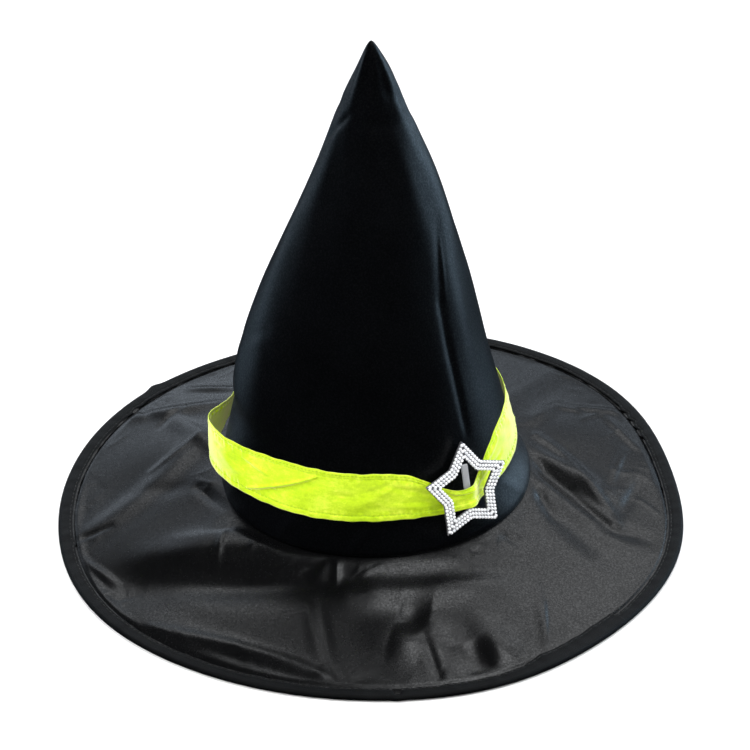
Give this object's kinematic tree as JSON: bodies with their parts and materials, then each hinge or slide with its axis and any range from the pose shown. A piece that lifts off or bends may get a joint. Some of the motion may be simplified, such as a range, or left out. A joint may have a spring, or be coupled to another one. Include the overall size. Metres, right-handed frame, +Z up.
{
  "type": "witch hat",
  "caption": "Pointed satin costume hat with a round wired brim and a loose ribbon band that carries a star-shaped buckle.",
  "frame": {"origin": "middle of the brim's rim, on the surface that the hat stands on", "axes": "+Z up along the crown, -Y to the front of the hat, +X to the right of someone looking at the front"},
  "size_m": [0.38, 0.38, 0.309],
  "materials": {
    "crown_satin": "satin weave, dull sheen",
    "brim_satin": "satin weave, soft sheen",
    "lining": "matte",
    "felt": "matte non-woven",
    "binding_tape": "matte twill",
    "hoop_wire": "drawn wire",
    "neon_ribbon": "satin, fluorescent",
    "plated_plastic": "bright plated",
    "stones": "faceted, silvered",
    "label_cloth": "matte, blank"
  },
  "bodies": {
    "hat": {"crown_cloth": "crown_satin", "crown_stiffener": "felt", "sweatband": "lining", "care_label": "label_cloth", "brim_stiffener": "felt", "brim_top_cloth": "brim_satin", "brim_under_cloth": "lining", "rim_hoop": "hoop_wire", "hoop_sleeve": "hoop_wire", "rim_binding": "binding_tape"},
    "band": {"hat_band": "neon_ribbon"},
    "buckle": {"buckle_frame": "plated_plastic", "buckle_bar": "plated_plastic", "stone_strip_01": "stones", "stone_strip_02": "stones", "stone_strip_03": "stones", "stone_strip_04": "stones", "stone_strip_05": "stones", "stone_strip_06": "stones", "stone_strip_07": "stones", "stone_strip_08": "stones", "stone_strip_09": "stones", "stone_strip_10": "stones"}
  },
  "joints": [
    {"name": "band_turn", "type": "hinge", "parent": "hat", "child": "band", "pos_m": [0, 0, 0.062], "axis": [0, 0, 1], "continuous": true},
    {"name": "buckle_rock", "type": "hinge", "parent": "band", "child": "buckle", "pos_m": [0.05534, -0.06992, 0.05633], "axis": [-0.1055, 0.2687, 0.9574], "range_deg": [-4, 4]}
  ]
}
